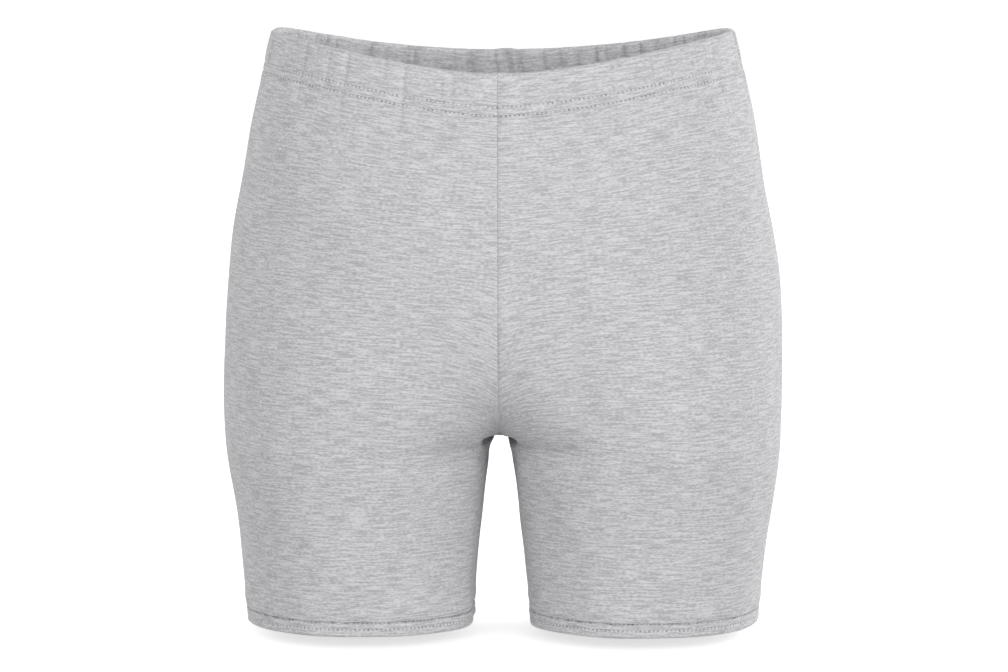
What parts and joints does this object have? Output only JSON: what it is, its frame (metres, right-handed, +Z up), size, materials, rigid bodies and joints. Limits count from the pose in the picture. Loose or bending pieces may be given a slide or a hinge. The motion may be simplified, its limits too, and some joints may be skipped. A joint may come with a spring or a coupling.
{
  "type": "hot pants",
  "caption": "Hollow hot pants of grey melange jersey, filled out as when worn, with a turned elastic waist, one-piece legs and turned hems.",
  "frame": {"origin": "centre of the waist opening, at half height between the highest and the lowest place of its top edge", "axes": "+Z up out of the waist, -Y out of the centre front, +X to the wearer's left"},
  "size_m": [0.361, 0.2365, 0.3813],
  "materials": {
    "jersey": "matt grey melange single jersey",
    "elastic": "woven off-white elastic"
  },
  "bodies": {
    "root": {"leg_panel_left": "jersey", "leg_panel_right": "jersey", "waist_casing_left": "jersey", "waist_casing_right": "jersey", "waist_elastic": "elastic", "hem_left": "jersey", "hem_right": "jersey"}
  },
  "joints": []
}
